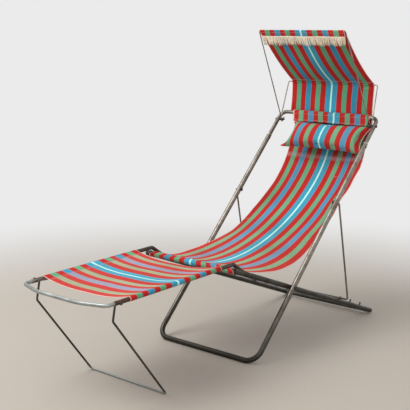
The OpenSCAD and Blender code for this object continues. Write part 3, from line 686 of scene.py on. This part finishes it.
# Headrest flap. A strip of the same canvas laid over the top bow, with a stitched hem. The
# pillow hangs from its front edge.
FLAP_LEFT, FLAP_RIGHT = -0.192, 0.219
FLAP_WIDTH, FLAP_SHIFT = 0.411, 0.037
over_sling = BOW_RADIUS + 0.0019 + 0.0003
flap_ring = over_sling + 0.0008
flap_side = ([np.array((TOP_BAR[0] - flap_ring - 0.0015, TOP_BAR[1] - 0.0385)),
              np.array((TOP_BAR[0] - flap_ring - 0.0008, TOP_BAR[1] - 0.020))]
             + arc_points(TOP_BAR, flap_ring, 180, 20, 18))
flap_line, flap_run = resampled(flap_side, 0.004)
flap_x = np.linspace(FLAP_LEFT, FLAP_RIGHT, columns)
places = np.zeros((len(flap_line), columns, 3))
for i, (y, z) in enumerate(flap_line):
    free = np.clip((0.040 - flap_run[i]) / 0.040, 0, 1)
    wave = 0.0018 * np.sin(u * 7.5 + 0.6) * free
    places[i, :, 0] = flap_x + 0.0012 * np.sin(flap_run[i] * 90)
    places[i, :, 1] = y - wave - 0.001 * free
    places[i, :, 2] = z + 0.0012 * np.sin(u * 5 + 2) * free
flap = canvas_piece("headrest-flap", places, flap_x - FLAP_SHIFT, flap_run[:, None], cut_at=0.9, sheen_and_wear=0.14)
flap_rows = [places[nearest(flap_run, at), 1:-1] - (0, 0.0008, 0) for at in (0.0035, 0.0065, 0.0375)]
stitches("flap-stitches", flap_rows, "back_frame")
dress(flap, canvas, "striped_canvas", "back_frame", "headrest_flap")

# Pillow. Two pieces of canvas, sewn together round their edges with a light cord and filled. It
# hangs from the flap's front edge and leans out over the sling.
PILLOW_LEAN = math.radians(30)
PILLOW_W, PILLOW_H, PILLOW_T = 0.440, 0.136, 0.068
PILLOW_SHIFT, PILLOW_SHEAR = 0.022, 0.012
PILLOW_CUT, PILLOW_WEAR = 3.0, 0.20
PILLOW_CLOTH_HALF = 0.219
pillow_top = np.array((TOP_BAR[0] - over_sling - 0.00095, TOP_BAR[1] - 0.0393))
down_way = np.array((0, -math.sin(PILLOW_LEAN), -math.cos(PILLOW_LEAN)))
front_way = np.array((0, -math.cos(PILLOW_LEAN), math.sin(PILLOW_LEAN)))
pillow_mid = np.array((0.0, *pillow_top)) + down_way * PILLOW_H / 2


def pillow_half(a, b):
    """Half the pillow's length at b down it, on the side of a. It is drawn in at mid height."""
    return PILLOW_W / 2 * (1 - (0.095 if a > 0 else 0.14) * (1 - b * b)) * (0.96 if a > 0 else 1)


def in_pillow(a, b, thick):
    """A place in the pillow: a along it and b down it, from -1 to 1, and thick in front."""
    sheared = PILLOW_SHIFT - PILLOW_SHEAR * b
    side = pillow_half(a, b) * a + sheared
    low = PILLOW_H / 2 * b * (1 - 0.05 * math.sqrt(max(0.0, 1 - a * a)))
    return pillow_mid + np.array((side, 0, 0)) + down_way * low + front_way * thick


def pillow_shell(name, nu, nv, fill, edge=0.0):
    """A closed shell of the pillow's outline: a grid in front and one behind, joined round."""
    bm = bmesh.new()
    spots = {}
    for face in (1, -1):
        for i in range(nu + 1):
            for j in range(nv + 1):
                a, b = 2 * i / nu - 1, 2 * j / nv - 1
                if (i in (0, nu) or j in (0, nv)) and face < 0 and not edge:
                    spots[(i, j, -1)] = spots[(i, j, 1)]
                    continue
                puff = (max(0.0, 1 - a ** 4) * max(0.0, 1 - b * b)) ** 0.5
                thick = face * (edge + fill * puff) + 0.010 * puff
                spots[(i, j, face)] = bm.verts.new(in_pillow(a, b, thick))
    for face in (1, -1):
        for i in range(nu):
            for j in range(nv):
                quad = [spots[(i + c, j + d, face)] for c, d in ((0, 0), (1, 0), (1, 1), (0, 1))]
                bm.faces.new(quad if face > 0 else quad[::-1])
    if edge:
        rim = ([(i, 0) for i in range(nu)] + [(nu, j) for j in range(nv)]
               + [(i, nv) for i in range(nu, 0, -1)] + [(0, j) for j in range(nv, 0, -1)])
        for one, two in zip(rim, rim[1:] + rim[:1]):
            bm.faces.new((spots[(*one, 1)], spots[(*two, 1)], spots[(*two, -1)], spots[(*one, -1)]))
    return shown(name, bm, sharp=75)


def evaluated_mesh(piece):
    """The piece's mesh with its modifiers applied."""
    return bpy.data.meshes.new_from_object(piece.evaluated_get(bpy.context.evaluated_depsgraph_get()))


def points_of(piece):
    return np.array([v.co[:] for v in piece.data.vertices])


def simulated(piece, voxel, pressure, frames, cap, held):
    """Swells a cloth body: remeshed, blown up as cloth, and no point moved further than the cap.
    held(places) gives 0 where a point stays, as at a seam, and 1 where it is free."""
    even = piece.modifiers.new("even mesh", "REMESH")
    even.mode = "VOXEL"
    even.voxel_size = voxel
    even_mesh = evaluated_mesh(piece)
    piece.modifiers.remove(even)
    piece.data = even_mesh
    before = points_of(piece)
    cloth = piece.modifiers.new("cloth", "CLOTH")
    for setting, value in (("quality", 6), ("mass", 0.25), ("tension_stiffness", 25),
                           ("compression_stiffness", 25), ("shear_stiffness", 8),
                           ("bending_stiffness", 0.35), ("use_pressure", True),
                           ("uniform_pressure_force", pressure)):
        setattr(cloth.settings, setting, value)
    cloth.settings.effector_weights.gravity = 0
    cloth.point_cache.frame_start = 1
    cloth.point_cache.frame_end = frames
    for frame_number in range(1, frames + 1):
        bpy.context.scene.frame_set(frame_number)
    swollen = evaluated_mesh(piece)
    piece.modifiers.remove(cloth)
    piece.data = swollen
    moved = points_of(piece) - before
    far = np.maximum(np.linalg.norm(moved, axis=1, keepdims=True), 1e-9)
    after = before + moved * np.minimum(1, cap / far) * held(before)[:, None]
    swollen.vertices.foreach_set("co", after.reshape(-1))
    swollen.polygons.foreach_set("use_smooth", [True] * len(swollen.polygons))
    bpy.context.scene.frame_set(1)
    return piece


def free_of_seam(places):
    spots = places - pillow_mid
    along_it = np.abs(spots[:, 0] - PILLOW_SHIFT) / (PILLOW_W / 2)
    down_it = np.abs(spots @ down_way) / (PILLOW_H / 2)
    return np.clip((1 - np.maximum(along_it, down_it)) / 0.16, 0, 1)


pillow = simulated(pillow_shell("headrest-pillow", 88, 28, PILLOW_T / 2 - 0.006, edge=0.0022),
                   voxel=0.0042, pressure=4.0, frames=20, cap=0.014, held=free_of_seam)
smooth = pillow.modifiers.new("finer", "SUBSURF")
smooth.levels = smooth.render_levels = 1
spots = points_of(pillow) - pillow_mid
down = spots @ down_way
across = spots[:, 0] - PILLOW_SHIFT + PILLOW_SHEAR * down / (PILLOW_H / 2)
# Towards the ends the cloth turns away, so more of its width lies there.
to_seam = np.array([pillow_half(a, min(1, abs(b))) for a, b in zip(across, down / (PILLOW_H / 2))])
turned = np.clip((np.abs(across) / to_seam - 0.70) / 0.30, 0, 1) ** 1.4
across = across + np.sign(across) * np.maximum(0, PILLOW_CLOTH_HALF - to_seam) * turned
lay_threads(pillow, across, down + PILLOW_CUT, PILLOW_WEAR)
dress(pillow, canvas, "striped_canvas", "back_frame", "headrest_pillow")

# Ears and cord of the pillow. The lower corners stand out flat and pointed, and a light cord is
# sewn into the seam at both ends.
for side, hand in HANDS:
    bm = bmesh.new()
    tip = in_pillow(side, 1, 0) + np.array((side * 0.012, 0, 0)) - down_way * 0.003
    outline = [in_pillow(side * a, b, 0) for a, b in ((0.80, 1), (0.93, 0.99), (0.985, 0.62), (0.97, 0.25))]
    outline.insert(2, tip)
    layers = [[bm.verts.new(spot + front_way * 0.0011 * face) for spot in outline] for face in (1, -1)]
    bm.faces.new(layers[0])
    bm.faces.new(layers[1][::-1])
    for k in range(len(outline)):
        n = (k + 1) % len(outline)
        bm.faces.new((layers[0][k], layers[1][k], layers[1][n], layers[0][n]))
    bmesh.ops.subdivide_edges(bm, edges=bm.edges[:], cuts=3, use_grid_fill=True)
    ear = shown(f"pillow-ear-{hand}", bm, sharp=60)
    spots = points_of(ear) - pillow_mid
    lay_threads(ear, spots[:, 0] - 0.010, spots @ down_way + PILLOW_CUT, PILLOW_WEAR)
    dress(ear, canvas, "striped_canvas", "back_frame")
for side, hand in HANDS:
    rim = ([in_pillow(side * a, -1, 0.001) for a in np.linspace(0.90, 0.985, 6)]
           + [in_pillow(side, b, 0.001) for b in np.linspace(-0.97, 0.90, 24)])
    dress(tube(f"pillow-cord-{hand}", rim, 0.0012, sides=8), cotton_thread, "fringe", "back_frame")

# Canopy bails. Two thin steel wires with an eye at each end, clamped under wing nuts. Their
# sides stand clear of the cloth.
CANOPY_BOLT = along(GROUND_BAR, BACK_TILT, BACK_LENGTH - 0.047)
BAIL_ANGLE = {"rear": 73.3, "front": 115.8}
REAR_BAIL = along(CANOPY_BOLT, BAIL_ANGLE["rear"], 0.187)
FRONT_BAIL = along(CANOPY_BOLT, BAIL_ANGLE["front"], 0.465)
WIRE_RADIUS = 0.0025


def eye(name, x, body):
    """The flattened eye at a wire's end, round the canopy's bolt."""
    bm = bmesh.new()
    sides = 32
    profile = [(0.0035, -0.0022), (0.0062, -0.0026), (0.0068, -0.0018), (0.0068, 0.0018),
               (0.0062, 0.0026), (0.0035, 0.0022)]
    rings = [[bm.verts.new((x + h, CANOPY_BOLT[0] + r * math.cos(a), CANOPY_BOLT[1] + r * math.sin(a)))
              for r, h in profile] for a in (2 * math.pi * k / sides for k in range(sides))]
    skin(bm, rings + rings[:1], capped=False)
    dress(shown(name, bm), dark_steel, "dark_steel", body)


wire_steel = steel("wire steel", (0.36, 0.33, 0.29), (0.20, 0.175, 0.15), (0.15, 0.09, 0.055), 0.3,
                   stained=0.5)
for label, eye_x, bar_x, bail in (("rear", 0.2515, 0.244, REAR_BAIL),
                                  ("front", 0.2443, 0.230, FRONT_BAIL)):
    y0, z0 = along(CANOPY_BOLT, BAIL_ANGLE[label], 0.005)
    wire = tube(f"canopy-{label}-wire", bend_path(
        [(eye_x, y0, z0), (bar_x, *bail), (-bar_x, *bail), (-eye_x, y0, z0)], [0.008, 0.008], 8),
        WIRE_RADIUS, sides=16)
    dress(wire, wire_steel, "dark_steel", f"canopy_{label}", f"canopy_{label}_bail")
    for side, hand in HANDS:
        eye(f"{label}-eye-{hand}", side * eye_x, f"canopy_{label}")

# Canopy panel. It hangs from the rear wire and is sewn behind the flap, in the same striped
# canvas.
low = np.array((TOP_BAR[0] + over_sling + 0.0016 + CANVAS_THICK, TOP_BAR[1] - 0.006))
high = np.array((REAR_BAIL[0] + WIRE_RADIUS + CANVAS_THICK, REAR_BAIL[1]))
panel_side = hung_curve(low, low + (0.001, 0.045), high - (0.001, 0.045), high, 40)
panel_line, panel_run = resampled(panel_side, 0.006)
places = np.zeros((len(panel_line), columns, 3))
for i, (y, z) in enumerate(panel_line):
    t = panel_run[i] / panel_run[-1]
    slack = math.sin(math.pi * t)
    places[i, :, 0] = u * (CANVAS_HALF - 0.002 * slack)
    places[i, :, 1] = y - 0.003 * slack * (1 - u * u) + 0.0012 * np.sin(6 * u + 3 * t) * slack
    places[i, :, 2] = z
panel = canvas_piece("canopy-panel", places, u * WOVEN_HALF, panel_run[:, None], cut_at=1.1)
dress(panel, canvas, "striped_canvas", None, "canopy_panel")
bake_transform(panel)

# Canopy roof. One sheet of canvas from a stitched sleeve on the rear wire to the front wire,
# sagging between them.
roof_way = unit(np.array(FRONT_BAIL) - REAR_BAIL)
roof_up = np.array((roof_way[1], -roof_way[0]))
roof_a = np.array(REAR_BAIL) + roof_up * (WIRE_RADIUS + 0.0030)
roof_b = np.array(FRONT_BAIL) + roof_up * (WIRE_RADIUS + CANVAS_THICK)
third = math.dist(roof_a, roof_b) / 3
sleeve_ring = WIRE_RADIUS + 0.0010
TUCKED_TO = 330
roof_face = math.degrees(math.atan2(roof_up[1], roof_up[0]))
roof_side = (arc_points(REAR_BAIL, sleeve_ring, TUCKED_TO, roof_face + 4, 24)
             + hung_curve(roof_a, roof_a + roof_way * third + (0, -0.024),
                          roof_b - roof_way * third + (0, -0.024), roof_b, 60))
roof_line, roof_run = resampled(roof_side, 0.0035)
places = np.zeros((len(roof_line), columns, 3))
for i, (y, z) in enumerate(roof_line):
    t = roof_run[i] / roof_run[-1]
    slack = math.sin(math.pi * t)
    places[i, :, 0] = u * (CANVAS_HALF - 0.003 * slack)
    places[i, :, 1] = y
    places[i, :, 2] = z - 0.006 * slack * (1 - u ** 2) + 0.0015 * np.sin(5 * u - 4 * t) * slack
roof = canvas_piece("canopy-roof", places, u * WOVEN_HALF, roof_run[:, None], cut_at=1.4)
dress(roof, canvas, "striped_canvas", None, "canopy_roof")
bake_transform(roof)
sleeve_length = sleeve_ring * math.radians(TUCKED_TO - roof_face)
rear_rows = [places[nearest(roof_run, sleeve_length + ahead), 1:-1] - (0, *(roof_up * 0.0008))
             for ahead in (0.012, 0.016)]
stitches("roof-stitches", rear_rows, "canopy_rear")

# Canopy hem. The roof's end turns over the front wire and hangs as a short band of the same
# canvas, stitched twice across.
HEM_LEAN = 28
HEM_DROP = 0.027
hem_ring = WIRE_RADIUS + 0.0011
hem_down = np.array(along((0, 0), 270 + HEM_LEAN, 1.0))
hem_out = np.array(along((0, 0), 180 + HEM_LEAN, 1.0))
hem_start = np.array(along(FRONT_BAIL, 180 + HEM_LEAN, hem_ring))
hem_side = (arc_points(FRONT_BAIL, hem_ring, roof_face, 180 + HEM_LEAN, 20)
            + [hem_start + hem_down * a for a in (0.009, 0.018, HEM_DROP)])
hem_line, hem_run = resampled(hem_side, 0.002)


def hem_swell(x, down):
    """How far the hem and the fringe stand out from their plane."""
    return 0.0011 * np.sin(x * 36 + 1) * np.clip(down / HEM_DROP, 0, 1.6)


places = np.zeros((len(hem_line), columns, 3))
for i, spot in enumerate(hem_line):
    down = max(0.0, (spot - hem_start) @ hem_down)
    drawn_in = 0.008 * (down / HEM_DROP) ** 2
    places[i, :, 0] = u * CANVAS_HALF + np.clip(-u - 0.9, 0, 1) * 10 * drawn_in
    out = hem_swell(places[i, :, 0], down)
    places[i, :, 1] = spot[0] + hem_out[0] * out
    places[i, :, 2] = spot[1] + hem_out[1] * out
hem = canvas_piece("canopy-hem", places, u * WOVEN_HALF, hem_run[:, None], cut_at=1.9, sheen_and_wear=0.06)
dress(hem, canvas, "striped_canvas", "canopy_front", "canopy_hem")
hem_rows = [places[len(hem_line) - back, 1:-1] + (0, *(hem_out * 0.0008)) for back in (2, 11)]
stitches("hem-stitches", hem_rows, "canopy_front")

# Fringe. Tufts of cream cotton strands hang from a braid that is sewn to the hem. The braid is
# two strands laid over each other along the hem's edge.
cream_cotton = cotton("cream cotton", 160, 4, (0.3, (0.78, 0.61, 0.42)), (0.62, (1.0, 0.93, 0.77)), 0.9,
                      sheen=0.1)
random.seed(7)
FRINGE_HALF = 0.224
TUFTS, TUFT_STRANDS = 48, 8
TUFT_PITCH = 2 * FRINGE_HALF / TUFTS
BRAID_DOWN, BRAID_TURN, BRAID_STEPS = 0.0262, 0.0075, 360
BRAID_LENGTH = 0.449
bm = bmesh.new()


def strand(root, lean, sway, length, thick, curl):
    """One three-sided strand of cotton from its root at the braid."""
    rings = []
    for t in (k / 6 for k in range(7)):
        x = root + lean * t ** 1.5 + curl * math.sin(5 * t)
        down = 0.0255 + length * t
        out = hem_swell(x, down) + 0.0004 + sway * t + curl * math.cos(4 * t)
        y, z = hem_start + hem_down * down + hem_out * out
        r = thick * (1 - 0.45 * t ** 3)
        round_it = [(r * math.cos(a), r * math.sin(a)) for a in (0.5, 2.594, 4.689)]
        rings.append([bm.verts.new((x + c, y + s * 0.8, z + s * 0.6)) for c, s in round_it])
    skin(bm, rings)


for tuft in range(TUFTS):
    root = TUFT_PITCH * (tuft + 0.5) - FRINGE_HALF
    lean, sway = random.uniform(-0.005, 0.005), random.uniform(-0.002, 0.004)
    reach = random.uniform(0.042, 0.049)
    for k in range(TUFT_STRANDS):
        offset = (k / (TUFT_STRANDS - 1) - 0.5) * TUFT_PITCH * 0.68
        strand(root + offset, lean + offset * random.uniform(-0.5, 0.6) + random.uniform(-0.0015, 0.0015),
               sway + random.uniform(-0.0016, 0.0016), reach * random.uniform(0.86, 1.02),
               random.uniform(0.0009, 0.0013), random.uniform(-0.0008, 0.0008))
for phase in (0, math.pi):
    rings = []
    for x in (BRAID_LENGTH * k / BRAID_STEPS - BRAID_LENGTH / 2 for k in range(BRAID_STEPS + 1)):
        turn = 2 * math.pi * x / BRAID_TURN + phase
        y, z = (hem_start + hem_down * (BRAID_DOWN + 0.0010 * math.sin(turn))
                + hem_out * (hem_swell(x, BRAID_DOWN) + 0.0012 + 0.0006 * math.cos(turn)))
        rings.append([bm.verts.new((x, y + 0.0009 * math.cos(a), z + 0.0009 * math.sin(a)))
                      for a in (0.3, 1.557, 2.813, 4.07, 5.327)])
    skin(bm, rings)
fringe = shown("canopy-fringe", bm, sharp=180)
dress(fringe, cream_cotton, "fringe", "canopy_front", "canopy_fringe")

# Footrest cloth. The same canvas turned across, sewn into sleeves round both rails. It sags
# between them and has slipped a little towards the foot end on the left rail.
CLOTH_START, CLOTH_END = -0.069, -0.553
CLOTH_SAG, CLOTH_SLIP = 0.022, 0.016
rail_ring = RAIL_RADIUS + 0.0011
rows, steps = 61, 50
cloth_side = arc_points((-FOOT_HALF, 0), rail_ring, 300, 90, 20)
cloth_side += [np.array((FOOT_HALF * v, rail_ring - CLOTH_SAG * (1 - abs(v) ** 2.6)))
               for v in (2 * k / steps - 1 for k in range(1, steps))]
cloth_side += arc_points((FOOT_HALF, 0), rail_ring, 90, -120, 20)
cloth_line, cloth_run = resampled(cloth_side, 0.008)
places = np.zeros((rows, len(cloth_line), 3))
across = np.zeros((rows, len(cloth_line)))
for i in range(rows):
    v = 2 * i / (rows - 1) - 1
    for j, (x, h) in enumerate(cloth_line):
        inside = np.clip(1 - (x / FOOT_HALF) ** 2, 0, 1)
        pull = (-0.004 if v > 0 else 0.003) * inside * v ** 3
        slipped = CLOTH_SLIP * np.clip(-x / FOOT_HALF, 0, 1)
        where = (CLOTH_START + CLOTH_END) / 2 + (CLOTH_START - CLOTH_END) / 2 * v - pull + slipped
        deeper = h - 0.004 * inside * abs(v) ** 3 + 0.0012 * inside * math.sin(14 * v + 3 * x)
        y, z = along(along(FOOT_END, RAIL_ANGLE, where), RAIL_ANGLE - 90, deeper)
        places[i, j] = (x, y, z)
        across[i, j] = CANVAS_HALF * v
# Between the two sleeves the cloth has painted sheen: its paler, greyer stripe tones, as it looks at a
# grazing angle to the light. The sleeves keep their colours.
sleeve_end = np.where(cloth_line[:, 0] < 0, 0.181, 0.205)
# worn here is the amount of painted sheen.
worn = 0.9 * np.clip(1 - (np.abs(cloth_line[:, 0]) - sleeve_end) / 0.010, 0, 1)[None, :]
worn = worn * (0.25 + 0.75 * np.clip(np.abs(across) / 0.07, 0, 1))
footrest_cloth = canvas_piece("footrest-cloth", places, across, cloth_run[None, :], cut_at=2.2, sheen_and_wear=worn)
dress(footrest_cloth, canvas, "striped_canvas", "footrest", "footrest_cloth")
cloth_rows = []
on_top = cloth_line[:, 1] > -0.015
for inset, side in ((0.014, 1), (0.018, 1), (0.030, -1), (0.034, -1)):
    j = int(np.argmin(np.abs(cloth_line[:, 0] - side * (FOOT_HALF - inset)) + ~on_top))
    cloth_rows.append(places[1:-1, j] + (0, 0, 0.0009))
stitches("footrest-stitches", cloth_rows, "footrest")
